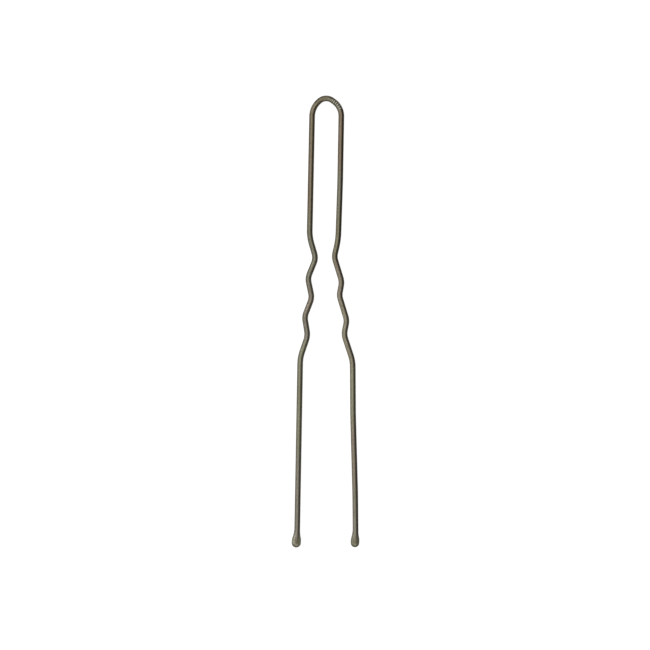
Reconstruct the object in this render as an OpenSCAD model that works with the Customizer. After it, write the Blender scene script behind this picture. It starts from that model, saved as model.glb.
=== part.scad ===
// French hair pin: one springy wire bent into a narrow bow, with crimped legs that spread below,
// and a drop of lacquer dipped on each end. It lies on a surface with the bow towards +Y.

/* [Pin] */
// Length from the outside of the bow to the bottom of the left drop
pin_length = 75.1; // [65:0.05:85]
// Diameter of the lacquered wire
wire_d = 0.95; // [0.7:0.05:1.1]
// How much shorter the right leg is
right_short = 0.05; // [0:0.01:1]
// How far the right leg has set out of straight
right_set = 0.085; // [0.02:0.005:0.2]
// Bend radius of the right leg's set
set_bend_r = 60; // [20:5:100]

/* [Bow] */
// Outside width of the bow
bow_width = 5.8; // [5:0.05:7]
// Sideways offset of the bow, to the right
bow_shift = 0.06; // [-0.3:0.01:0.3]
// Height of the bow's peak above its shoulders, at the corners of the bends
shoulder_drop = 1.92; // [1.6:0.02:2.4]
// How far the bow's peak leans to the left
peak_lean = 0.2; // [-0.4:0.05:0.4]
// Bend radius at the bow's peak
peak_bend_r = 1.7; // [1.2:0.05:2]
// Bend radius at the bow's left shoulder
left_shoulder_r = 3.4; // [2:0.1:3.8]
// Bend radius at the bow's right shoulder
right_shoulder_r = 2.95; // [2:0.05:3.8]

/* [Legs] */
// Length from the bow's peak to the first crimp
shank_length = 23.5; // [18:0.5:30]
// Distance between the wires' middles at the first crimp
waist_width = 4.75; // [4.3:0.05:6]
// Sideways offset of the waist, to the left
waist_shift = 0.44; // [0:0.02:0.6]
// Distance between the wires' middles below the last crimp
knee_width = 8.7; // [7.5:0.1:10]
// Distance between the wires' middles at their ends
tip_width = 9.75; // [8:0.05:12]
// Sideways offset of the ends, to the left
tip_shift = 0.04; // [0:0.01:0.3]

/* [Crimps] */
// Length of the crimped stretch
crimp_length = 20.6; // [18:0.2:25]
// Depth of the deepest crimp, in towards the other leg
crimp_depth = 1.3; // [0.8:0.05:1.5]
// Usual bend radius of a crimp
crimp_bend_r = 2.6; // [1.6:0.1:3]

/* [Drops] */
// How far the left drop stands out round the wire
left_drop_wall = 0.3; // [0.2:0.01:0.5]
// How far the right drop stands out round the wire
right_drop_wall = 0.24; // [0.2:0.01:0.5]
// Length of the left drop
left_drop_length = 3.05; // [2.4:0.05:4]
// Length of the right drop
right_drop_length = 2.9; // [2.2:0.05:4]
// Straight stretch between the drop's round bottom and its neck
drop_straight = 0.55; // [0.1:0.05:0.7]
// Lacquer below the end of the wire
drop_cover = 0.6; // [0.5:0.05:0.8]
// Tilt of both drops to the left
drop_tilt = 3; // [0:0.5:4]
// Thickness of the lacquer at the top of the drop's neck
neck_skin = 0.03; // [0.025:0.005:0.06]
// Gap between wire and lacquer
seat_gap = 0.02; // [0.01:0.005:0.03]

/* [Hidden] */
$fn = 64;

LEFT = -1;
RIGHT = 1;

// Straight length that is kept between two neighbouring bends, as a share of the distance
SPARE = 0.01;
// Corners that turn less than this angle stay sharp
LEAST_TURN = 0.001;
// Sides of the wire, and the largest turn between two of its rings
WIRE_SIDES = 16;
RING_TURN = 6;
// Steps in the outline of a drop's round bottom, in its round shoulder and in its hollow neck
BOTTOM_STEPS = 9;
SHOULDER_STEPS = 2;
NECK_STEPS = 6;

wire_r = wire_d / 2;
seat_r = wire_r + seat_gap;
neck_r = seat_r + neck_skin;

// A point of the wire's path is [X, Y, BEND]: a corner and the radius that rounds it.
// The path is laid out with the bow's peak on Y 0 and the legs running down -Y.
X = 0;
Y = 1;
BEND = 2;

// Columns of the crimp tables: place along the crimped stretch as a share of crimp_length,
// reach in towards the other leg as a share of crimp_depth, radius as a share of crimp_bend_r
ALONG = 0;
INWARD = 1;
ROUND = 2;

LEFT_CRIMPS = [
    [0, 0, 2.9],
    [0.172, 1, 0.92],
    [0.332, 0.165, 0.96],
    [0.49, 0.875, 1],
    [0.643, 0.12, 1],
    [0.796, 0.705, 1.3],
    [0.973, -0.045, 2.35],
];

RIGHT_CRIMPS = [
    [0.026, 0.045, 5.2],
    [0.16, 0.8, 1.04],
    [0.361, 0.2, 1.08],
    [0.473, 0.735, 1.02],
    [0.672, 0.14, 1.04],
    [0.788, 0.72, 1.17],
    [1, 0, 2.5],
];

// Columns of the set tables: place along the straight stretch as a share of its length,
// reach out as a share of right_set
OUTWARD = 1;

SHANK_SET = [
    [0.565, 1],
];

LEG_SET = [
    [0.29, -1],
    [0.73, 0.7],
];

function between(a, b, share) = a + (b - a) * share;

function flat(p) = [p[X], p[Y]];

// Turn of the path at a corner, positive to the left
function turn(path, i) =
    let (
        a = flat(path[i]) - flat(path[i - 1]),
        b = flat(path[i + 1]) - flat(path[i])
    )
    atan2(a[X] * b[Y] - a[Y] * b[X], a * b);

function is_end(path, i) = i <= 0 || i >= len(path) - 1;

function distance(path, i) = norm(flat(path[i + 1]) - flat(path[i]));

function is_sharp(path, i) = is_end(path, i) || abs(turn(path, i)) < LEAST_TURN;

// Length that a corner's bend takes from the straight lines beside it
function wanted_reach(path, i) =
    is_sharp(path, i) ? 0 : path[i][BEND] * tan(abs(turn(path, i)) / 2);

// Share of its wanted length that a bend gets from the line that starts at corner i
function room(path, i) =
    let (wanted = wanted_reach(path, i) + wanted_reach(path, i + 1))
    wanted == 0 ? 1 : min(1, (1 - SPARE) * distance(path, i) / wanted);

function reach(path, i) =
    is_sharp(path, i) ? 0 : wanted_reach(path, i) * min(room(path, i - 1), room(path, i));

function bend_r(path, i) = reach(path, i) / tan(abs(turn(path, i)) / 2);

function heading(path, i) =
    let (line = flat(path[i + 1]) - flat(path[i]))
    atan2(line[Y], line[X]);

function left_of(heading) = [-sin(heading), cos(heading)];

// Places for the wire's rings through the bend at corner i. Each is [point, heading].
function bend_rings(path, i) =
    is_end(path, i) ? [[flat(path[i]), heading(path, i == 0 ? 0 : i - 1)]] :
    is_sharp(path, i) ? [[flat(path[i]), heading(path, i)]] :
    let (
        a = turn(path, i),
        from = heading(path, i - 1),
        steps = ceil(abs(a) / RING_TURN),
        to_middle = bend_r(path, i) * sign(a),
        start = flat(path[i]) - reach(path, i) * [cos(from), sin(from)],
        middle = start + to_middle * left_of(from)
    )
    [
        for (k = [0:steps])
            let (h = from + a * k / steps)
            [middle - to_middle * left_of(h), h]
    ];

// Corners of the crimped stretch, from the waist down to the knee
function waist_x(side) = side * waist_width / 2 - waist_shift;

function knee_x(side) = side * knee_width / 2;

function crimps(side, table) = [
    for (row = table) [
        between(waist_x(side), knee_x(side), row[ALONG]) - side * crimp_depth * row[INWARD],
        -shank_length - crimp_length * row[ALONG],
        crimp_bend_r * row[ROUND]
    ]
];

// Corners of a straight stretch of the right leg that has set
function sets(from, to, table) = [
    for (row = table) [
        between(from[X], to[X], row[ALONG]) + right_set * row[OUTWARD],
        between(from[Y], to[Y], row[ALONG]),
        set_bend_r
    ]
];

function last(list) = list[len(list) - 1];

function reversed(list) = [for (i = [len(list) - 1:-1:0]) list[i]];

bow_half = (bow_width - wire_d) / 2;
peak = [bow_shift - peak_lean, 0, peak_bend_r];
left_shoulder = [bow_shift - bow_half, -shoulder_drop, left_shoulder_r];
right_shoulder = [bow_shift + bow_half, -shoulder_drop, right_shoulder_r];

left_crimps = crimps(LEFT, LEFT_CRIMPS);
right_crimps = crimps(RIGHT, RIGHT_CRIMPS);

left_bends = concat(reversed(left_crimps), [left_shoulder]);
right_bends = concat(
    [right_shoulder],
    sets(right_shoulder, right_crimps[0], SHANK_SET),
    right_crimps
);
bow_path = concat(left_bends, [peak], right_bends);
peak_at = len(left_bends);

// Rings through the bow, and its outermost place
bow_rings = [for (i = [peak_at - 1:peak_at + 1]) each bend_rings(bow_path, i)];
bow_top = max([for (ring = bow_rings) ring[0][Y]]) + wire_r;

// Ends of the wire
end_y = bow_top - pin_length + drop_cover;

function tip_x(side) = side * tip_width / 2 - tip_shift;

left_end = [tip_x(LEFT), end_y];
right_end = [tip_x(RIGHT), end_y + right_short];
leg_sets = sets(last(right_crimps), right_end, LEG_SET);

wire_path = concat([left_end], bow_path, leg_sets, [right_end]);

// Direction of the wire at an end, as a turn from +Y
function end_turn(side) =
    let (line = side == LEFT ? flat(wire_path[1]) - left_end : flat(last(leg_sets)) - right_end)
    atan2(-line[X], line[Y]);

// Sizes of a drop
function wire_end(side) = side == LEFT ? left_end : right_end;

function drop_r(side) = wire_r + (side == LEFT ? left_drop_wall : right_drop_wall);

function drop_length(side) = side == LEFT ? left_drop_length : right_drop_length;

// Height above the drop's bottom at which its round shoulder is centred
function shoulder_height(side) = drop_r(side) + drop_straight;

// Point on a drop's middle line, height measured up from its bottom
function drop_point(side, height) =
    let (
        a = end_turn(side),
        neck = wire_end(side) + (drop_length(side) - drop_cover) * [-sin(a), cos(a)],
        down = a - drop_tilt
    )
    neck - (drop_length(side) - height) * [-sin(down), cos(down)];

// The pin touches the surface with both drops and with the lowest place of its bow.
// The wire's plane rises by rise_x along X and by rise_y along Y, from its height at the left drop.
left_touch = drop_point(LEFT, shoulder_height(LEFT));
span = drop_point(RIGHT, shoulder_height(RIGHT)) - left_touch;
drop_rise = drop_r(RIGHT) - drop_r(LEFT);

// Rise along Y that sets a place of the wire on the surface
function rise_to(place) =
    let (from = place - left_touch)
    (wire_r - drop_r(LEFT) - drop_rise * from[X] / span[X]) / (from[Y] - span[Y] * from[X] / span[X]);

rise_y = max([for (ring = bow_rings) rise_to(ring[0])]);
rise_x = (drop_rise - rise_y * span[Y]) / span[X];
lift = drop_r(LEFT) - rise_x * left_touch[X] - rise_y * left_touch[Y];
roll = asin(-rise_x);
pitch = asin(rise_y / cos(roll));

// Middle of the pin's outline. The tilt of the drops carries the left one's bottom furthest out.
left_side = drop_point(LEFT, drop_r(LEFT))[X] - drop_r(LEFT);
right_side = drop_point(RIGHT, shoulder_height(RIGHT))[X] + drop_r(RIGHT);
middle_x = (left_side + right_side) / 2;
middle_y = bow_top - pin_length / 2;

module lie_down() {
    translate([-middle_x, -middle_y, lift])
        rotate([pitch, roll, 0])
            children();
}

// A round wire swept through its rings, as one closed tube
module bent_wire(path) {
    rings = [for (i = [0:len(path) - 1]) each bend_rings(path, i)];
    points = [
        for (ring = rings, k = [0:WIRE_SIDES - 1])
            let (a = 360 * k / WIRE_SIDES)
            [each ring[0] + wire_r * cos(a) * left_of(ring[1]), wire_r * sin(a)]
    ];
    walls = [
        for (n = [0:len(rings) - 2], k = [0:WIRE_SIDES - 1])
            let (
                here = n * WIRE_SIDES,
                there = here + WIRE_SIDES,
                next = (k + 1) % WIRE_SIDES
            )
            [here + k, there + k, there + next, here + next]
    ];
    first_face = [for (k = [0:WIRE_SIDES - 1]) k];
    last_face = [for (k = [WIRE_SIDES - 1:-1:0]) (len(rings) - 1) * WIRE_SIDES + k];
    polyhedron(points, concat([first_face], walls, [last_face]), convexity = 6);
}

function arc(middle, radius, from, to, steps) = [
    for (k = [0:steps])
        let (a = between(from, to, k / steps))
        middle + radius * [cos(a), sin(a)]
];

// Half outline of a drop: round bottom, straight side, round shoulder and hollow neck
module drop_outline(radius, length) {
    shoulder = radius + drop_straight;
    neck = length - shoulder;
    hollow_r = (neck * neck + neck_r * neck_r - radius * radius) / (2 * (radius - neck_r));
    meet = atan(neck / (neck_r + hollow_r));
    polygon(concat(
        arc([0, radius], radius, -90, 0, BOTTOM_STEPS),
        arc([0, shoulder], radius, 0, meet, SHOULDER_STEPS),
        [
            for (k = [1:NECK_STEPS])
                let (a = between(180 + meet, 180, k / NECK_STEPS))
                [neck_r + hollow_r, length] + hollow_r * [cos(a), sin(a)]
        ],
        [[0, length]]
    ));
}

// A drop of lacquer with the wire's end seated in it
module drop(side) {
    length = drop_length(side);
    neck_top = length - drop_cover;
    translate([each wire_end(side), 0])
        rotate([-90, 0, end_turn(side)])
            difference() {
                translate([0, 0, neck_top])
                    rotate([0, drop_tilt, 0])
                        translate([0, 0, -length])
                            rotate_extrude()
                                drop_outline(drop_r(side), length);
                translate([0, 0, -seat_gap])
                    cylinder(h = length, r = seat_r);
            }
}

module wire() {
    color([0.44, 0.4, 0.32])
        lie_down()
            bent_wire(wire_path);
}

module tip_left() {
    color([0.5, 0.47, 0.39])
        lie_down()
            drop(LEFT);
}

module tip_right() {
    color([0.5, 0.47, 0.39])
        lie_down()
            drop(RIGHT);
}

wire();
tip_left();
tip_right();
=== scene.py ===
# %% [markdown]
# # A French hair pin
#
# A French hair pin holds a bun or a twist. It is one springy steel wire in bronze-brown lacquer,
# bent to a narrow bow. Each leg is crimped so that it grips the hair, and spreads below the crimps.
# Both ends are dipped once more, and the drop of lacquer there keeps them from scratching.
#
# The construction was made first and is packed as a fixed frame: a wire and two drops, at their
# real size. This lesson gives them their looks. Nothing is moved or resized. The frame's own wire
# has 16 flat sides and its drops are turned from short arcs, so finer pieces take their place here.

# %% Load the fixed frame
import math

import bmesh
import bpy
from mathutils import Matrix, Vector
from mathutils.bvhtree import BVHTree


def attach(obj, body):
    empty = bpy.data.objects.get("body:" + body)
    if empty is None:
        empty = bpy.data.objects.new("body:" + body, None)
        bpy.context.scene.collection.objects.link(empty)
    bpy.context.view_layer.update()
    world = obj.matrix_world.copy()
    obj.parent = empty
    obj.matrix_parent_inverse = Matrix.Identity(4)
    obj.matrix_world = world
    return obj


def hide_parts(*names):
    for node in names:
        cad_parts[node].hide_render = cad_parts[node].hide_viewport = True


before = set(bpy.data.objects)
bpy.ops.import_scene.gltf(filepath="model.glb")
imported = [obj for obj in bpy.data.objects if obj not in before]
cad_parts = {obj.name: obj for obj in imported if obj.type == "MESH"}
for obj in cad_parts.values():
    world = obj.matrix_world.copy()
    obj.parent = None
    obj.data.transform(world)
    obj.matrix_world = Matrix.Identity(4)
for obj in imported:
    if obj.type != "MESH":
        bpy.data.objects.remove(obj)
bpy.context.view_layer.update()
MM = 0.001
print("frame pieces:", sorted(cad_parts))

# %% [markdown]
# ## The camera and the sweep
#
# The pin lies flat and is seen from straight above, with its bow pointing up in the picture. A long
# lens far away keeps the thin wire free of perspective. It is set so that 650 pixels show 108 mm of
# the table.
#
# The table is a sweep: a pale floor that curves up to a wall all round, as in a photographer's
# tent. A lathe would make that shape, so a profile is spun once round. The sweep glows almost white
# by itself and adds a little of the light that falls on it, so that only the faintest shadow stays
# under the wire. It is hidden from every ray but the camera's, because a white floor would brighten
# the underside of the wire, and in the photograph that side is dark.

# %% Set up the camera
PICTURE_WIDTH = 108 * MM
PICTURE_MIDDLE = Vector((-0.082, -0.58, 0.6)) * MM
CAMERA_HEIGHT = 600 * MM
SENSOR_WIDTH = 36

camera = bpy.data.objects.new("camera", bpy.data.cameras.new("camera"))
bpy.context.scene.collection.objects.link(camera)
camera.location = PICTURE_MIDDLE + Vector((0, 0, CAMERA_HEIGHT))
camera.data.sensor_width = SENSOR_WIDTH
camera.data.lens = SENSOR_WIDTH * CAMERA_HEIGHT / PICTURE_WIDTH
bpy.context.scene.camera = camera
bpy.context.scene.view_settings.view_transform = "Standard"
print("lens in mm:", round(camera.data.lens, 1))

# %% Spin the sweep
FLOOR_R = 0.9
CURVE_R = 0.4
WALL_HEIGHT = 1.6
CURVE_STEPS = 12
SWEEP_STEPS = 96
# An edge that turns more than this stays sharp
CORNER = math.radians(40)
# Vertices that are closer than this are merged
SAME_PLACE = 1e-7


def link_piece(name, bm):
    """Puts a bmesh into a new object at the origin, shaded smooth between its corners."""
    for face in bm.faces:
        face.smooth = True
    for edge in bm.edges:
        edge.smooth = edge.calc_face_angle(0) < CORNER
    mesh = bpy.data.meshes.new(name)
    bm.to_mesh(mesh)
    bm.free()
    piece = bpy.data.objects.new(name, mesh)
    bpy.context.scene.collection.objects.link(piece)
    return piece


def spin_profile(bm, points, steps):
    """Spins an outline in the XZ plane once round Z and closes its seam and its poles."""
    row = [bm.verts.new(point) for point in points]
    edges = [bm.edges.new(pair) for pair in zip(row, row[1:])]
    bmesh.ops.spin(
        bm, geom=row + edges, cent=(0, 0, 0), axis=(0, 0, 1),
        angle=math.tau, steps=steps, use_merge=True,
    )
    bmesh.ops.remove_doubles(bm, verts=bm.verts, dist=SAME_PLACE)
    bmesh.ops.recalc_face_normals(bm, faces=bm.faces)


curve = [
    (FLOOR_R + CURVE_R * math.sin(turn), 0, CURVE_R * (1 - math.cos(turn)))
    for turn in (math.radians(90 * k / CURVE_STEPS) for k in range(CURVE_STEPS + 1))
]
sweep_mesh = bmesh.new()
spin_profile(sweep_mesh, [(0, 0, 0), *curve, (FLOOR_R + CURVE_R, 0, WALL_HEIGHT)], SWEEP_STEPS)
sweep = link_piece("sweep", sweep_mesh)
sweep.visible_diffuse = sweep.visible_glossy = sweep.visible_transmission = sweep.visible_shadow = False
print("sweep faces:", len(sweep.data.polygons))

# %% [markdown]
# ## The lights
#
# Across the wire the photograph runs from a clear left half, with a soft highlight just left of the
# middle, to a dark right edge. That is a broad soft panel overhead, a little beyond the bow, and
# light from low on the left. The crimps tell how wide that light is: their slopes face the upper
# left and the lower left in turn, and both are lit nearly alike. So a bright softbox stands at the
# upper left, which draws the streak down the glossy left drop, and a paler card at the lower left.
# Under them a low card lights the left edges. A small card beyond the ends of the legs puts a pale
# glint near the bottom of each drop.
#
# Every rim of the photographed pin is a shade paler, because the white table around it glows. The
# sweep throws no light here, so three dim lights do that work: one under the table, which the sweep
# lets through, and a low card beyond each end of the pin. The world stays dim, so the right side
# keeps its shade.
#
# A table holds the lights. A helper aims each one at the pin and works out its power from the
# brightness that its face should have.

# %% Hang the lights
# Columns: azimuth and height angle in degrees, distance, width and depth in metres, and brightness
LIGHTS = {
    "overhead_panel": (130, 73, 0.9, 0.8, 0.8, 1.85),
    "side_softbox": (150, 30, 0.6, 0.26, 0.14, 5),
    "side_card": (198, 34, 0.6, 0.3, 0.2, 2.2),
    "head_card": (92, 10, 0.7, 0.5, 0.35, 1.3),
    "low_card": (178, 10, 0.7, 0.8, 0.25, 0.9),
    "foot_card": (275, 47, 0.7, 0.5, 0.12, 6),
    "foot_glow": (270, 5, 0.7, 0.8, 0.25, 0.5),
    "table_glow": (0, -90, 0.3, 2, 2, 0.35),
}
ROOM_COLOUR = (0.022, 0.02, 0.017)


def hang_light(name, azimuth, height_angle, distance, width, depth, brightness):
    """A soft light that faces the pin. Its azimuth is seen from above, from +X towards +Y."""
    light = bpy.data.lights.new(name, "AREA")
    light.shape = "RECTANGLE"
    light.size, light.size_y = width, depth
    light.energy = brightness * math.pi * width * depth
    lamp = bpy.data.objects.new(name, light)
    bpy.context.scene.collection.objects.link(lamp)
    around, up = math.radians(azimuth), math.radians(height_angle)
    away = Vector((math.cos(around) * math.cos(up), math.sin(around) * math.cos(up), math.sin(up)))
    lamp.location = away * distance
    lamp.rotation_euler = away.to_track_quat("Z", "Y").to_euler()
    lamp.visible_camera = False
    print(name, "watts:", round(light.energy, 2))


for name, sizes in LIGHTS.items():
    hang_light(name, *sizes)

world = bpy.data.worlds.new("dim_room")
world.use_nodes = True
world.node_tree.nodes["Background"].inputs["Color"].default_value = (*ROOM_COLOUR, 1)
bpy.context.scene.world = world

# %% [markdown]
# ## The wire's route
#
# The real pin is made on a wire bender: it feeds a straight length, turns the wire round a pin, and
# feeds again. A route of corners says the same thing. Each corner has a place and a bend radius,
# and the feeds are what is left of the lines between the corners. The corners are laid out flat,
# with the bow's peak on Y 0 and the legs running down, in millimetres.
#
# The sizes are the ones that the construction was made from. A table holds the crimps as shares of
# three sizes, because the two legs were pressed a little differently and no formula gives that.

# %% The pin's main sizes
WIRE_R = 0.475
PIN_LENGTH = 75.1
BOW_WIDTH = 5.8
BOW_SHIFT = 0.06
SHOULDER_DROP = 1.92
PEAK_LEAN = 0.2
PEAK_BEND_R = 1.7
LEFT_SHOULDER_R = 3.4
RIGHT_SHOULDER_R = 2.95
SHANK_LENGTH = 23.5
WAIST_WIDTH = 4.75
WAIST_SHIFT = 0.44
KNEE_WIDTH = 8.7
TIP_WIDTH = 9.75
TIP_SHIFT = 0.04
RIGHT_SHORT = 0.05
DROP_COVER = 0.6
LEFT, RIGHT = -1, 1
print("wire diameter in mm:", 2 * WIRE_R)

# %% The crimps and the set of the right leg
CRIMP_LENGTH = 20.6
CRIMP_DEPTH = 1.3
CRIMP_BEND_R = 2.6
RIGHT_SET = 0.085
SET_BEND_R = 60

# Columns: place along the stretch, reach in towards the other leg and bend radius, each as a share
# of the size above
LEFT_CRIMPS = [
    (0, 0, 2.9),
    (0.172, 1, 0.92),
    (0.332, 0.165, 0.96),
    (0.49, 0.875, 1),
    (0.643, 0.12, 1),
    (0.796, 0.705, 1.3),
    (0.973, -0.045, 2.35),
]
RIGHT_CRIMPS = [
    (0.026, 0.045, 5.2),
    (0.16, 0.8, 1.04),
    (0.361, 0.2, 1.08),
    (0.473, 0.735, 1.02),
    (0.672, 0.14, 1.04),
    (0.788, 0.72, 1.17),
    (1, 0, 2.5),
]
# Columns: place along the straight stretch and reach out, as a share of RIGHT_SET
SHANK_SET = [(0.565, 1)]
LEG_SET = [(0.29, -1), (0.73, 0.7)]


def crimp_corners(side, table):
    """Corners of a leg's crimps, from the waist down to the knee, each with its bend radius."""
    waist = Vector((side * WAIST_WIDTH / 2 - WAIST_SHIFT, -SHANK_LENGTH))
    knee = Vector((side * KNEE_WIDTH / 2, -SHANK_LENGTH - CRIMP_LENGTH))
    inwards = Vector((-side * CRIMP_DEPTH, 0))
    return [
        (waist.lerp(knee, along) + inwards * reach, CRIMP_BEND_R * roundness)
        for along, reach, roundness in table
    ]


def set_corners(start, end, table):
    """Corners of a straight stretch of the right leg that has set a little out of straight."""
    return [(start.lerp(end, along) + Vector((RIGHT_SET * out, 0)), SET_BEND_R) for along, out in table]


bow_half = BOW_WIDTH / 2 - WIRE_R
left_shoulder = (Vector((BOW_SHIFT - bow_half, -SHOULDER_DROP)), LEFT_SHOULDER_R)
peak = (Vector((BOW_SHIFT - PEAK_LEAN, 0)), PEAK_BEND_R)
right_shoulder = (Vector((BOW_SHIFT + bow_half, -SHOULDER_DROP)), RIGHT_SHOULDER_R)
left_crimps = crimp_corners(LEFT, LEFT_CRIMPS)
right_crimps = crimp_corners(RIGHT, RIGHT_CRIMPS)
bow_route = [
    *reversed(left_crimps),
    left_shoulder,
    peak,
    right_shoulder,
    *set_corners(right_shoulder[0], right_crimps[0][0], SHANK_SET),
    *right_crimps,
]
print("corners so far:", len(bow_route))

# %% [markdown]
# ## From corners to stations
#
# A bend takes some length from the lines on both sides of its corner. Where two bends want more
# than the line between them has, both get a little tighter, as they do on the bender. Every bend is
# then walked through in small steps, and each step is a station: a point, the wire's heading there,
# and how far along the wire it is.

# %% Walk the route
# Share of the line between two bends that always stays straight
SPARE = 0.01
TURN_STEP = math.radians(2)


def heading_between(start, end):
    """Heading of a line as an angle from +X."""
    line = end - start
    return math.atan2(line.y, line.x)


def turn_at(corners, i):
    """Turn of the route at corner i, positive to the left."""
    before = heading_between(corners[i - 1][0], corners[i][0])
    after = heading_between(corners[i][0], corners[i + 1][0])
    return math.remainder(after - before, math.tau)


def bend_reaches(corners):
    """Length that each corner's bend takes from the lines beside it, and none at the two ends."""
    inner = range(1, len(corners) - 1)
    wanted = [0] + [corners[i][1] * math.tan(abs(turn_at(corners, i)) / 2) for i in inner] + [0]
    room = [
        min(1, (1 - SPARE) * (corners[i + 1][0] - corners[i][0]).length / (wanted[i] + wanted[i + 1]))
        for i in range(len(corners) - 1)
    ]
    return [0] + [wanted[i] * min(room[i - 1], room[i]) for i in inner] + [0]


def forward(heading):
    """Unit vector along a heading, in the plane."""
    return Vector((math.cos(heading), math.sin(heading)))


def left_of(heading):
    """Unit vector that points to the left of a heading, in the plane."""
    return Vector((-math.sin(heading), math.cos(heading)))


def walk(corners):
    """Stations along the route: (point, heading, distance from the first corner)."""
    reaches = bend_reaches(corners)
    first, last = corners[0][0], corners[-1][0]
    stations = [(first, heading_between(first, corners[1][0]), 0)]

    def step_to(point, heading, length):
        stations.append((point, heading, stations[-1][2] + length))

    for i in range(1, len(corners) - 1):
        turn = turn_at(corners, i)
        heading = stations[-1][1]
        start = corners[i][0] - reaches[i] * forward(heading)
        radius = reaches[i] / math.tan(abs(turn) / 2)
        to_middle = math.copysign(radius, turn)
        middle = start + to_middle * left_of(heading)
        steps = max(1, math.ceil(abs(turn) / TURN_STEP))
        step_to(start, heading, (start - stations[-1][0]).length)
        for k in range(1, steps + 1):
            now = heading + turn * k / steps
            step_to(middle - to_middle * left_of(now), now, radius * abs(turn) / steps)
    step_to(last, stations[-1][1], (last - stations[-1][0]).length)
    return stations


bow_top = max(point.y for point, _, _ in walk(bow_route)) + WIRE_R
end_y = bow_top - PIN_LENGTH + DROP_COVER
left_end = (Vector((LEFT * TIP_WIDTH / 2 - TIP_SHIFT, end_y)), 0)
right_end = (Vector((RIGHT * TIP_WIDTH / 2 - TIP_SHIFT, end_y + RIGHT_SHORT)), 0)
leg_sets = set_corners(right_crimps[-1][0], right_end[0], LEG_SET)
stations = walk([left_end, *bow_route, *leg_sets, right_end])
peak_distance = max(stations, key=lambda station: station[0].y)[2]
print("stations:", len(stations), "wire length in mm:", round(stations[-1][2], 1))

# %% [markdown]
# ## The wire
#
# A curve with a bevel would give a tube in one line, but its rings keep no record of where they
# were on the straight wire. Here one ring is drawn at the left end and extruded from station to
# station, so each ring can be told its place. The attribute `unbent` stores it: across the wire,
# up, and along it from the bow's peak, in millimetres. A pattern that reads it follows every bend,
# as drawing lines do on the real wire.

# %% Extrude the ring from station to station
WIRE_SIDES = 40


def place_of(station):
    """Matrix of a station: X to the wire's left, Y up from the table and Z along the wire."""
    point, heading, _ = station
    left = left_of(heading).to_3d()
    up = Vector((0, 0, 1))
    turned = Matrix((left, up, left.cross(up))).transposed().to_4x4()
    return Matrix.Translation(point.to_3d()) @ turned


def mark_unbent(bm, verts, station):
    """Stores where the vertices were before the wire was bent."""
    layer = bm.verts.layers.float_vector["unbent"]
    back = place_of(station).inverted()
    from_peak = Vector((0, 0, station[2] - peak_distance))
    for vert in verts:
        vert[layer] = back @ vert.co + from_peak


wire_mesh = bmesh.new()
wire_mesh.verts.layers.float_vector.new("unbent")
wire_mesh.verts.layers.float.new("worn")
ring = bmesh.ops.create_circle(
    wire_mesh, segments=WIRE_SIDES, radius=WIRE_R, matrix=place_of(stations[0])
)["verts"]
mark_unbent(wire_mesh, ring, stations[0])
rim = list(wire_mesh.edges)
bmesh.ops.edgeloop_fill(wire_mesh, edges=rim)
for before, now in zip(stations, stations[1:]):
    grown = bmesh.ops.extrude_edge_only(wire_mesh, edges=rim)["geom"]
    ring = [part for part in grown if isinstance(part, bmesh.types.BMVert)]
    rim = [part for part in grown if isinstance(part, bmesh.types.BMEdge)]
    bmesh.ops.transform(wire_mesh, matrix=place_of(now) @ place_of(before).inverted(), verts=ring)
    mark_unbent(wire_mesh, ring, now)
bmesh.ops.edgeloop_fill(wire_mesh, edges=rim)
bmesh.ops.recalc_face_normals(wire_mesh, faces=wire_mesh.faces)
print("wire faces:", len(wire_mesh.faces))

# %% [markdown]
# ## The marks of the bending tool
#
# The bow's right shoulder carries a row of fine nicks across its outer side, where a toothed jaw
# held the wire. The metal that a tooth presses out of its dent stands up beside it, so the surface
# there is a wave. The jaw rubbed the lacquer thin on the ridges, which also get a painted highlight,
# and the dents get a painted shade. All of it goes into the mesh. The rings there lie too far apart
# for it, so the lengthwise edges are cut up first, and `subdivide_edges` carries the attribute over
# to the new vertices. A second attribute, `worn`, goes from 1 on the rubbed ridges with their painted
# highlight to -1 in the dents with their painted shade, and gets weaker down the outer flank.

# %% Press the nicks
NICKS = 6
NICK_PITCH = 0.37
NICK_START = 1
NICK_DEPTH = 0.05
NICK_CUTS = 3
# Edges that cover more of the wire's length than this run along it
LENGTHWISE = 0.01
# Share of the rubbing, the painted highlight and the painted dent shade that is left on the outer flank
FLANK_WEAR = 0.35
# Direction across the wire from which the jaw pressed: outwards and up
JAW = Vector((0.7, 0.8)).normalized()

unbent = wire_mesh.verts.layers.float_vector["unbent"]
worn = wire_mesh.verts.layers.float["worn"]
NICK_END = NICK_START + NICKS * NICK_PITCH


def in_nicks(vert):
    """Whether a vertex lies in the stretch that the jaw held."""
    return NICK_START <= vert[unbent].z <= NICK_END


held_edges = [
    edge for edge in wire_mesh.edges
    if all(in_nicks(vert) for vert in edge.verts)
    and abs(edge.verts[0][unbent].z - edge.verts[1][unbent].z) > LENGTHWISE
]
bmesh.ops.subdivide_edges(wire_mesh, edges=held_edges, cuts=NICK_CUTS, use_grid_fill=True)
wire_mesh.normal_update()
for vert in filter(in_nicks, wire_mesh.verts):
    place = vert[unbent]
    outwards = place.xy.normalized()
    facing = max(0, outwards.dot(JAW))
    wave = facing * math.sin(math.tau * (place.z - NICK_START) / NICK_PITCH)
    vert.co += vert.normal * NICK_DEPTH / 2 * wave
    vert[worn] = wave * min(1, FLANK_WEAR + max(0, outwards.y))
print("edges cut for the nicks:", len(held_edges))
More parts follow.
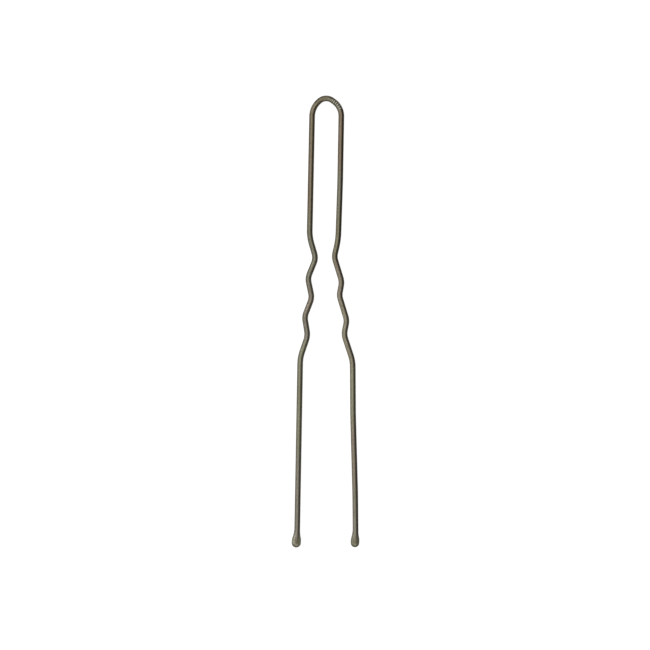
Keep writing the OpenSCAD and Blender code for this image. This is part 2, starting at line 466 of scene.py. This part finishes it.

# %% [markdown]
# ## The drops
#
# Lacquer that is dipped runs down to the end of the wire and hangs there as a drop: a round bottom,
# a short straight side, a round shoulder, and a hollow neck that thins out up the wire. The outline
# is a few arcs. Where they join, the curvature would jump and break the highlight, so it is evened
# out in a few passes, as surface tension does it in wet lacquer. Spinning the outline gives the
# drop. Both drops lean a little to the left, as the real ones do.
#
# Each vertex also stores five values for the material, all from 0 to 1. `thickness` says how thick
# the lacquer is there, and `clear` how clear it dried: the left drop wholly, the right one hardly,
# apart from a patch past the end of the wire, whose paler colour is a painted patch of light. The
# wire shows through clear lacquer as a brown core, so `core` is 1 over the middle of the wire and
# fades beside it and past its end; the paler clear lacquer around it is partly painted light.
# `gloss` is full on the flanks, where the resin levelled out, and low over the core, where it is
# thin. `deep` marks a painted shade: the dark crescent round the very bottom.

# %% The sizes of the drops
DROP_STRAIGHT = 0.55
DROP_TILT = math.radians(3)
NECK_SKIN = 0.004
DROPS = {
    "left": {"side": LEFT, "wall": 0.3, "length": 3.05, "clarity": 1, "end": stations[0]},
    "right": {"side": RIGHT, "wall": 0.24, "length": 2.9, "clarity": 0.1, "end": stations[-1]},
}
THICKEST = max(drop["wall"] for drop in DROPS.values())
for name, drop in DROPS.items():
    drop["radius"] = WIRE_R + drop["wall"]
    print(name, "drop diameter in mm:", round(2 * drop["radius"], 2))

# %% Draw half an outline of a drop
POINT_GAP = 0.07
FLOW_PASSES = 8


def arc(middle, radius, start, end):
    """Points along an arc in the XZ plane, evenly apart."""
    steps = math.ceil(radius * abs(end - start) / POINT_GAP)
    angles = [start + (end - start) * k / steps for k in range(steps + 1)]
    return [
        Vector((middle[0] + radius * math.cos(angle), 0, middle[1] + radius * math.sin(angle)))
        for angle in angles
    ]


def even_out(points):
    """Evens out the curvature of an outline that starts on its axis."""
    mirrored = Vector((-points[1].x, 0, points[1].z))
    inner = [(a + 2 * b + c) / 4 for a, b, c in zip([mirrored, *points], points, points[1:])]
    return [*inner, points[-1]]


def drop_outline(drop):
    """Half outline of a drop, from its bottom up to the neck, with height 0 at the bottom."""
    radius, length = drop["radius"], drop["length"]
    shoulder = radius + DROP_STRAIGHT
    neck = length - shoulder
    neck_r = WIRE_R + NECK_SKIN
    hollow_r = (neck ** 2 + neck_r ** 2 - radius ** 2) / (2 * (radius - neck_r))
    meet = math.atan(neck / (neck_r + hollow_r))
    steps = round(DROP_STRAIGHT / POINT_GAP)
    bottom = arc((0, radius), radius, -math.pi / 2, 0)
    straight = [Vector((radius, 0, radius + DROP_STRAIGHT * k / steps)) for k in range(1, steps)]
    round_shoulder = arc((0, shoulder), radius, 0, meet)
    hollow_neck = arc((neck_r + hollow_r, length), hollow_r, math.pi + meet, math.pi)
    outline = bottom + straight + round_shoulder + hollow_neck[1:]
    for _ in range(FLOW_PASSES):
        outline = even_out(outline)
    lowest = outline[0].z
    stretch = length / (length - lowest)
    outline = [Vector((point.x, 0, (point.z - lowest) * stretch)) for point in outline]
    return [*outline, Vector((WIRE_R - NECK_SKIN, 0, length))]


print("outline points:", len(drop_outline(DROPS["left"])))

# %% Work out what a drop stores
# Depth from which the lacquer levels out wholly, and the painted patch of light past the wire's end
LEVEL_DEPTH = 0.15
PAINTED_LIGHT_PAST_WIRE = 0.7
# The core: half its width, its end above the drop's bottom, its soft edge and the gloss it takes
CORE_EDGE = 0.4
CORE_END = 0.7
CORE_FADE = 0.18
CORE_DULL = 0.75
# The crescent of painted shade: its height in the middle, its rise towards the sides and its soft edge
BOTTOM_SHADE_END = 0.27
BOTTOM_SHADE_CURVE = 0.9
BOTTOM_SHADE_FADE = 0.15
STORED = ("thickness", "gloss", "core", "clear", "deep")


def zero_to_one(value):
    """Keeps a value between 0 and 1."""
    return min(1, max(0, value))


def values_at(drop, place):
    """The values of STORED at a place on a drop that stands upright on its bottom."""
    below_shoulder = place.z < drop["radius"] + DROP_STRAIGHT / 2
    depth = drop["wall"] if below_shoulder else place.xy.length - WIRE_R
    levelled = zero_to_one(depth / LEVEL_DEPTH)
    past_wire = zero_to_one((CORE_END - place.z) / CORE_FADE + 0.5)
    core = zero_to_one((CORE_EDGE - abs(place.x)) / CORE_FADE) * (1 - past_wire)
    # The crescent of painted shade round the very bottom
    crescent = BOTTOM_SHADE_END + BOTTOM_SHADE_CURVE * place.x ** 2
    return {
        "thickness": zero_to_one(depth / THICKEST),
        "gloss": levelled * drop["clarity"] * (1 - CORE_DULL * core),
        "core": core,
        "clear": levelled * max(drop["clarity"], PAINTED_LIGHT_PAST_WIRE * past_wire),
        "deep": zero_to_one((crescent - place.z) / BOTTOM_SHADE_FADE + 0.5),
    }


bottom_values = values_at(DROPS["left"], Vector((0, 0, 0)))
print("at the left drop's bottom:", {key: round(bottom_values[key], 2) for key in STORED})

# %% Spin the drops
DROP_STEPS = 72


def up_the_wire(drop):
    """Heading of the wire above a drop, away from the drop."""
    _, heading, _ = drop["end"]
    return heading if drop["side"] == LEFT else heading + math.pi


drop_meshes = {}
for name, drop in DROPS.items():
    bm = bmesh.new()
    bm.verts.layers.float_vector.new("unbent")
    layers = {key: bm.verts.layers.float.new(key) for key in STORED}
    spin_profile(bm, drop_outline(drop), DROP_STEPS)
    bmesh.ops.holes_fill(bm, edges=bm.edges)
    for vert in bm.verts:
        for key, value in values_at(drop, vert.co).items():
            vert[layers[key]] = value
    lean = (
        Matrix.Translation(Vector((0, 0, drop["length"] - DROP_COVER)))
        @ Matrix.Rotation(DROP_TILT, 4, "Y")
        @ Matrix.Translation(Vector((0, 0, -drop["length"])))
    )
    lie = (
        Matrix.Rotation(up_the_wire(drop) - math.pi / 2, 4, "Z")
        @ Matrix.Rotation(-math.pi / 2, 4, "X")
    )
    wire_end = Matrix.Translation(drop["end"][0].to_3d())
    bmesh.ops.transform(bm, matrix=wire_end @ lie @ lean, verts=bm.verts)
    mark_unbent(bm, bm.verts, drop["end"])
    drop_meshes[name] = bm
    print(name, "drop faces:", len(bm.faces))

# %% [markdown]
# ## Laying the pin down
#
# Everything so far is drawn flat, with the middle of the wire on Z 0. On the table the pin rests on
# its two drops and on the lowest place of its bow. The drops are thicker than the wire, so the legs
# stand a little higher than the bow: the pin is tilted by a few tenths of a degree. The tilt is
# worked out from those three places, as it is in the construction.

# %% Work out the tilt
# The bow ends at this Y, and its lowest place is looked for above it
BOW_END = -2 * SHOULDER_DROP


def on_axis(drop, height):
    """Place on a drop's axis, at a height above its bottom."""
    heading = up_the_wire(drop)
    neck = drop["end"][0] + (drop["length"] - DROP_COVER) * forward(heading)
    return neck - (drop["length"] - height) * forward(heading - DROP_TILT)


left_drop, right_drop = DROPS["left"], DROPS["right"]
left_touch = on_axis(left_drop, left_drop["radius"] + DROP_STRAIGHT)
right_touch = on_axis(right_drop, right_drop["radius"] + DROP_STRAIGHT)
span = right_touch - left_touch
drop_rise = right_drop["radius"] - left_drop["radius"]


def rise_to(place):
    """Rise along Y that sets this place of the wire on the table."""
    reach = place - left_touch
    share = reach.x / span.x
    return (WIRE_R - left_drop["radius"] - drop_rise * share) / (reach.y - span.y * share)


rise_y = max(rise_to(point) for point, _, _ in stations if point.y > BOW_END)
rise_x = (drop_rise - rise_y * span.y) / span.x
lift = left_drop["radius"] - rise_x * left_touch.x - rise_y * left_touch.y
roll = math.asin(-rise_x)
pitch = math.asin(rise_y / math.cos(roll))
print("pitch and roll in degrees:", round(math.degrees(pitch), 2), round(math.degrees(roll), 2))

# %% Lay the meshes down in the frame
left_side = on_axis(left_drop, left_drop["radius"]).x - left_drop["radius"]
right_side = right_touch.x + right_drop["radius"]
middle = Vector(((left_side + right_side) / 2, bow_top - PIN_LENGTH / 2, 0))
lie_down = (
    Matrix.Scale(MM, 4)
    @ Matrix.Translation(Vector((0, 0, lift)) - middle)
    @ Matrix.Rotation(roll, 4, "Y")
    @ Matrix.Rotation(pitch, 4, "X")
)


def lay_down(name, bm):
    """Turns a flat bmesh into a piece that lies on the table, at its real size."""
    bmesh.ops.transform(bm, matrix=lie_down, verts=bm.verts)
    return link_piece(name, bm)


wire = lay_down("wire_lacquered", wire_mesh)
drops = {name: lay_down("drop_" + name, bm) for name, bm in drop_meshes.items()}


def gap_to_frame(piece, node):
    """Largest distance in mm from a piece's vertices to the node that it stands for."""
    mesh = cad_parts[node].data
    surface = BVHTree.FromPolygons(
        [vert.co.copy() for vert in mesh.vertices], [list(face.vertices) for face in mesh.polygons]
    )
    return max(surface.find_nearest(vert.co)[3] for vert in piece.data.vertices) / MM


print("wire to its solid in mm:", round(gap_to_frame(wire, "wire"), 3))
for name, piece in drops.items():
    print(name, "drop to its solid in mm:", round(gap_to_frame(piece, "tip_" + name), 3))

# %% [markdown]
# ## A way to write shader maths
#
# A material is a graph of nodes, and a formula in it would take a line for every node. One small
# class wraps a socket, so that a sum or a product of two sockets adds the Math node by itself. Its
# `node` method adds any other node: settings first, then the values or links of its sockets.

# %% Wrap a socket


class Signal:
    """A socket of a material that is used in a formula like a number."""

    def __init__(self, socket):
        self.socket = socket

    def take(self, value):
        """Links a signal to this socket, or sets its value."""
        if isinstance(value, Signal):
            self.socket.id_data.links.new(value.socket, self.socket)
        else:
            self.socket.default_value = value

    def node(self, kind, settings=None, inputs=None, output=0):
        """Adds a node to the same material and returns one of its outputs."""
        made = self.socket.id_data.nodes.new(kind)
        for name, value in (settings or {}).items():
            if name == "stops":
                set_stops(made.color_ramp, value)
            else:
                setattr(made, name, value)
        for name, value in (inputs or {}).items():
            Signal(made.inputs[name]).take(value)
        return Signal(made.outputs[output])

    def math(self, operation, first, second):
        """Adds a Math node."""
        return self.node("ShaderNodeMath", {"operation": operation}, {0: first, 1: second})

    def __add__(self, other):
        return self.math("ADD", self, other)

    def __sub__(self, other):
        return self.math("SUBTRACT", self, other)

    def __rsub__(self, other):
        return self.math("SUBTRACT", other, self)

    def __mul__(self, other):
        return self.math("MULTIPLY", self, other)

    def __pow__(self, other):
        return self.math("POWER", self, other)

    __radd__ = __add__
    __rmul__ = __mul__


def set_stops(ramp, stops):
    """Sets a ramp's stops: (place, colour) from left to right."""
    ramp.elements.remove(ramp.elements[1])
    ramp.elements[0].position = stops[0][0]
    for place, _ in stops[1:]:
        ramp.elements.new(place)
    for element, (_, colour) in zip(ramp.elements, stops):
        element.color = (*colour, 1)


print("operators ready: + - * **")

# %% [markdown]
# ## The lacquer
#
# The wire's lacquer is a thin baked coat with bronze powder in it, so it shines partly like a
# metal, and a little more so on the bow's half, where the powder lies thicker. Close up it has the
# lines of the drawn wire under it and a fine orange-peel skin. It baked browner here and more olive
# there, and the lower legs are greyer than the bow. A table holds the main patches, because they
# are chance and follow no formula, and a soft noise varies them. Towards its right end painted
# light and shade make the wire paler on its inner side and darker on its outer side. All of that
# reads `unbent`, so it runs round the bends with the wire.

# %% Name the lacquer's colours
BRONZE = (0.203, 0.172, 0.116)
BROWN = (0.212, 0.171, 0.117)
RED_BROWN = (0.198, 0.154, 0.108)
ROSY = (0.24, 0.205, 0.158)
MOSS = (0.19, 0.178, 0.118)
SAGE = (0.19, 0.182, 0.134)
OLIVE = (0.248, 0.244, 0.167)
GREEN_GREY = (0.214, 0.206, 0.155)
GREY = (0.244, 0.228, 0.185)
PALE = (0.262, 0.24, 0.176)

# Columns: where a patch starts and ends, in mm from the bow's peak and negative on the left leg,
# and its colour. Between two patches the colour changes softly.
PATCHES = [
    (-62, -62, GREY),
    (-59, -44, OLIVE),
    (-41, -41, GREY),
    (-34.5, -34.5, ROSY),
    (-32, -26, GREEN_GREY),
    (-20.5, -20.5, MOSS),
    (-19, -11, BROWN),
    (-8, -2.6, BRONZE),
    (-1.4, -1.4, MOSS),
    (-0.3, -0.3, BRONZE),
    (1, 3, GREEN_GREY),
    (3.6, 12, RED_BROWN),
    (14.5, 19, SAGE),
    (21, 27, MOSS),
    (29.5, 33, ROSY),
    (35, 45.5, PALE),
    (48, 55, OLIVE),
    (58, 65, ROSY),
    (68, 68, GREEN_GREY),
    (75, 75, GREY),
]
PATCH_REACH = 76
PATCH_STOPS = [
    ((distance + PATCH_REACH) / (2 * PATCH_REACH), tone)
    for start, end, tone in PATCHES for distance in sorted({start, end})
]
print("patches along the wire:", len(PATCHES), "with stops:", len(PATCH_STOPS))

# %% Give the common nodes short names


def stored(signal, name, output="Fac"):
    """What a piece's vertices store under a name."""
    return signal.node("ShaderNodeAttribute", {"attribute_name": name}, output=output)


def noise(place, grain, detail):
    """Noise over the unbent wire, with its grain per mm given across, up and along."""
    grained = place.node("ShaderNodeVectorMath", {"operation": "MULTIPLY"}, {0: place, 1: grain})
    inputs = {"Vector": grained, "Scale": 1, "Detail": detail}
    return place.node("ShaderNodeTexNoise", {}, inputs, "Fac")


def mix(share, first, second):
    """Mixes two colours."""
    return share.node("ShaderNodeMix", {"data_type": "RGBA"}, {"Factor": share, 6: first, 7: second}, 2)


def shaded(tone, shade):
    """A colour made darker or lighter."""
    return tone.node("ShaderNodeVectorMath", {"operation": "SCALE"}, {0: tone, "Scale": shade})


def ease(value, start, end):
    """Goes from 0 to 1 while a value goes from its start to its end, and no further."""
    return value.node("ShaderNodeMapRange", {}, {"Value": value, "From Min": start, "From Max": end})


print("helpers ready: stored, noise, mix, shaded, ease")

# %% Tone the wire
# Grain of the soft noise, where it starts and stops to turn the patches brown, and how much
SOFT_GRAIN = (0.3, 0.3, 0.3)
BROWN_FROM = 0.35
BROWN_TO = 0.65
BROWN_SHARE = 0.25


def patch_tone(place, way):
    """Colour of the patches on the way from the left end, 0, to the right end, 1."""
    tone = way.node("ShaderNodeValToRGB", {"stops": PATCH_STOPS}, {"Fac": way}, "Color")
    browned = ease(noise(place, SOFT_GRAIN, 2), BROWN_FROM, BROWN_TO)
    return mix(browned * BROWN_SHARE, tone, (*BROWN, 1))


print("share of brown in the patches: 0 to", BROWN_SHARE)

# %% Mix the satin lacquer
LINE_GRAIN = (14, 14, 0.25)
PEEL_GRAIN = (6, 6, 6)
# Contrast of the lines, and how much painted light makes the inner side paler per mm at the right end
LINE_SHADE = 0.3
PAINTED_SIDE_LIGHT = 0.7
# Least roughness, and what the peel and the lines add to it at most
SATIN = 0.34
PEEL_ROUGH = 0.06
LINE_ROUGH = 0.05
# How much the powder shines like a metal, and what the bow's half adds to that
POWDER = 0.7
BOW_POWDER = 0.12
# Distances from the bow's peak in mm: the bow's share is whole up to the first, gone at the second
POWDER_FULL = 22
POWDER_END = 34


def satin(place):
    """The lacquer as it is on the wire: tone, shade, powder, roughness and height."""
    across = place.node("ShaderNodeSeparateXYZ", {}, {0: place}, "X")
    along = place.node("ShaderNodeSeparateXYZ", {}, {0: place}, "Z")
    lines = noise(place, LINE_GRAIN, 3)
    peel = noise(place, PEEL_GRAIN, 2)
    way = ease(along, -PATCH_REACH, PATCH_REACH)
    bow_half = ease(along.math("ABSOLUTE", along, 0), POWDER_END, POWDER_FULL)
    # The second factor paints light on the inner side and shade on the outer side
    shade = (lines * LINE_SHADE + (1 - LINE_SHADE / 2)) * (1 - across * way * PAINTED_SIDE_LIGHT)
    powder = bow_half * BOW_POWDER + POWDER
    rough = SATIN + peel * PEEL_ROUGH + lines * LINE_ROUGH
    height = (lines + peel) * 0.5
    return patch_tone(place, way), shade, powder, rough, height


print("roughness of the satin:", SATIN, "to", round(SATIN + PEEL_ROUGH + LINE_ROUGH, 2))

# %% [markdown]
# ## Wear and painted light and shade in the nicks
#
# In the nicks `worn` brings out the rubbed ridges, pale with a painted highlight and rough, and a
# painted shade in the dents between them. Two finishes are made, one for the wire and one for the
# drops. Each is a function that says what the shader's sockets take, and how high the skin stands.

# %% Finish the wire
# Ridge colour: rubbed lacquer, made paler by a painted highlight
RUBBED_AND_LIT = (0.72, 0.71, 0.59)
# Share of the metal's shine that rubbing takes, roughness that it adds, and the painted dent shade
RUB_DULL = 0.4
RUB_ROUGH = 0.2
DENT_SHADE = 0.55


def wire_finish(place):
    """Satin lacquer, with the wear, the painted highlight and the painted shade of the nicks."""
    tone, shade, powder, rough, height = satin(place)
    worn = stored(place, "worn")
    rubbed_and_lit = worn.math("MAXIMUM", worn, 0)
    # Painted shade darkens the dents
    dent_shade = 1 + (worn - rubbed_and_lit) * DENT_SHADE
    finish = {
        "Base Color": shaded(mix(rubbed_and_lit, tone, (*RUBBED_AND_LIT, 1)), shade * dent_shade),
        "Metallic": powder * (1 - rubbed_and_lit * RUB_DULL),
        "Roughness": rough + rubbed_and_lit * RUB_ROUGH,
    }
    return finish, height


print("colour of the rubbed ridges:", RUBBED_AND_LIT)

# %% [markdown]
# ## Thick lacquer
#
# On the drops the same lacquer is thick. The powder sinks in it, it turns more olive, and the clear
# resin on top levels out to a gloss. So `thickness` mixes from the one finish to the other, and the
# neck shows no seam, while `gloss` is the weight of a clear coat. Where the drop is clear, `core`
# brings out the wire in it, the paler lacquer around it is partly painted light, and `deep` paints a
# shade on its bottom.

# %% Finish the drops
DULL_OLIVE = (0.2, 0.19, 0.135)
# Paler olive of clear lacquer, partly painted light
CLEAR_AND_LIT_OLIVE = (0.3, 0.29, 0.19)
CORE_BROWN = (0.15, 0.132, 0.09)
# Dark olive of the painted shade on the bottom
PAINTED_SHADE_OLIVE = (0.07, 0.075, 0.035)
# Below 1, the lacquer turns olive while it is still thin
OLIVE_POWER = 0.5
# Share of the skin's relief that levels out where the lacquer is thickest
LEVELLED = 0.8


def drop_finish(place):
    """Lacquer that changes from the wire's satin to a thick, clear coat."""
    tone, shade, powder, rough, height = satin(place)
    thick = stored(place, "thickness")
    clear_and_lit_tone = mix(stored(place, "core"), (*CLEAR_AND_LIT_OLIVE, 1), (*CORE_BROWN, 1))
    olive = mix(stored(place, "clear"), (*DULL_OLIVE, 1), clear_and_lit_tone)
    # Painted shade darkens the bottom crescent
    olive = mix(stored(place, "deep"), olive, (*PAINTED_SHADE_OLIVE, 1))
    finish = {
        "Base Color": mix(thick ** OLIVE_POWER, shaded(tone, shade), olive),
        "Metallic": powder * (1 - thick),
        "Roughness": rough,
        "Coat Weight": stored(place, "gloss"),
    }
    return finish, height * (1 - thick * LEVELLED)


print("colour of the clear lacquer:", CLEAR_AND_LIT_OLIVE)

# %% [markdown]
# ## Coating the pieces
#
# A material is made from each finish. What is the same all over the lacquer is set on the shader's
# own sockets: a warm tint of its shine, and a smooth and strong clear coat, which has weight on the
# drops alone.

# %% Make the two materials
SKIN_RELIEF = 0.006 * MM
ALL_OVER = {"Specular Tint": (1, 0.85, 0.65, 1), "Coat Roughness": 0.06, "Coat IOR": 1.9}


def lacquer(name, make_finish):
    """Bronze-brown lacquer with one of the two finishes."""
    material = bpy.data.materials.new(name)
    material.use_nodes = True
    sockets = material.node_tree.nodes["Principled BSDF"].inputs
    for key, value in ALL_OVER.items():
        sockets[key].default_value = value
    finish, height = make_finish(stored(Signal(sockets["Normal"]), "unbent", "Vector"))
    relief = {"Height": height, "Distance": SKIN_RELIEF}
    finish["Normal"] = height.node("ShaderNodeBump", {}, relief, "Normal")
    for key, value in finish.items():
        Signal(sockets[key]).take(value)
    return material


wire_lacquer = lacquer("wire_lacquer", wire_finish)
drop_lacquer = lacquer("drop_lacquer", drop_finish)
for material in (wire_lacquer, drop_lacquer):
    print(material.name, "nodes:", len(material.node_tree.nodes))

# %% Coat the pieces
wire.data.materials.append(wire_lacquer)
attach(wire, "root")
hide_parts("wire")
for name, piece in drops.items():
    piece.data.materials.append(drop_lacquer)
    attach(piece, "root")
    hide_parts("tip_" + name)
print("pieces:", wire.name, *(piece.name for piece in drops.values()))

# %% [markdown]
# ## The sweep's white
#
# The sweep glows a little under full white, and the light that falls on it lifts it just over. A
# shadow then takes it down by a shade or two and no more.

# %% Paint the sweep
SWEEP_FINISH = {
    "Base Color": (0.2, 0.2, 0.2, 1),
    "Roughness": 1,
    "Specular IOR Level": 0,
    "Emission Color": (1, 1, 1, 1),
    "Emission Strength": 0.94,
}
sweep_white = bpy.data.materials.new("sweep_white")
sweep_white.use_nodes = True
sweep_shader = sweep_white.node_tree.nodes["Principled BSDF"]
for key, value in SWEEP_FINISH.items():
    sweep_shader.inputs[key].default_value = value
sweep.data.materials.append(sweep_white)
print("sweep glow:", SWEEP_FINISH["Emission Strength"])
